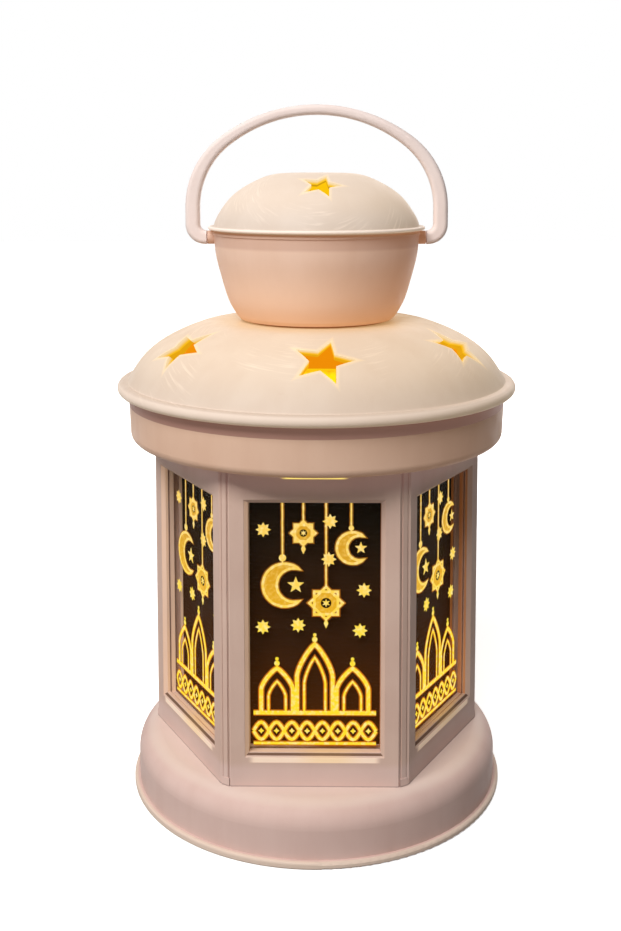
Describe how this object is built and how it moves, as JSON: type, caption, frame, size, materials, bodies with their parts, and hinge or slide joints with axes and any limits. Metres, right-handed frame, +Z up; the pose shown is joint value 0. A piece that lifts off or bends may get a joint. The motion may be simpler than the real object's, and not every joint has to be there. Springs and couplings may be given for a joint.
{
  "type": "fanous lantern",
  "caption": "Table lantern of moulded plastic with edge-lit window panes, domed star-cut roof, flared cup with cap, swinging handle and battery base.",
  "frame": {"origin": "middle of the foot, on the surface that the lantern stands on", "axes": "+Z up through the middle of the cap, -Y to the front, +X to the right, along the handle's pins"},
  "size_m": [0.1306, 0.1306, 0.224],
  "materials": {
    "body_plastic": "semi-gloss moulded",
    "frame_plastic": "semi-gloss moulded",
    "roof_plastic": "semi-gloss moulded",
    "cup_plastic": "semi-gloss moulded",
    "handle_plastic": "semi-gloss moulded",
    "pane_acrylic": "clear, etched and lit at its edge",
    "liner_plastic": "dark film",
    "contact_steel": "plated",
    "screw_steel": "plated",
    "switch_plastic": "black moulded",
    "board": "solder mask",
    "led": "clear resin",
    "lens": "frosted",
    "cell_jacket": "plain jacket"
  },
  "bodies": {
    "lantern": {"base_shell": "body_plastic", "collar": "body_plastic", "roof_dome": "roof_plastic", "neck_cup": "cup_plastic", "top_cap": "roof_plastic", "inner_liner": "liner_plastic", "bottom_plate": "body_plastic", "battery_contacts": "contact_steel", "switch_body": "switch_plastic", "led_ring_board": "board", "lamp_board": "board", "edge_leds": "led", "lamp_led": "led", "lamp_lens": "lens", "base_screws": "screw_steel", "board_screws": "screw_steel", "side_frame_1": "frame_plastic", "side_frame_2": "frame_plastic", "side_frame_3": "frame_plastic", "side_frame_4": "frame_plastic", "side_frame_5": "frame_plastic", "side_frame_6": "frame_plastic", "corner_post_1": "frame_plastic", "corner_post_2": "frame_plastic", "corner_post_3": "frame_plastic", "corner_post_4": "frame_plastic", "corner_post_5": "frame_plastic", "corner_post_6": "frame_plastic", "window_pane_1": "pane_acrylic", "window_pane_2": "pane_acrylic", "window_pane_3": "pane_acrylic", "window_pane_4": "pane_acrylic", "window_pane_5": "pane_acrylic", "window_pane_6": "pane_acrylic", "battery_1": "cell_jacket", "battery_2": "cell_jacket", "battery_3": "cell_jacket"},
    "handle": {"handle": "handle_plastic"},
    "battery_door": {"battery_door": "body_plastic"},
    "switch_slider": {"switch_slider": "switch_plastic"}
  },
  "joints": [
    {"name": "handle_swing", "type": "hinge", "parent": "lantern", "child": "handle", "pos_m": [0, 0, 0.1808], "axis": [1, 0, 0], "range_deg": [-122, 122]},
    {"name": "battery_door_hinge", "type": "hinge", "parent": "lantern", "child": "battery_door", "pos_m": [0, -0.02575, 0.0025], "axis": [-1, 0, 0], "range_deg": [0, 80]},
    {"name": "switch_slide", "type": "slide", "parent": "lantern", "child": "switch_slider", "axis": [0, 1, 0], "range_m": [0, 0.003]}
  ]
}
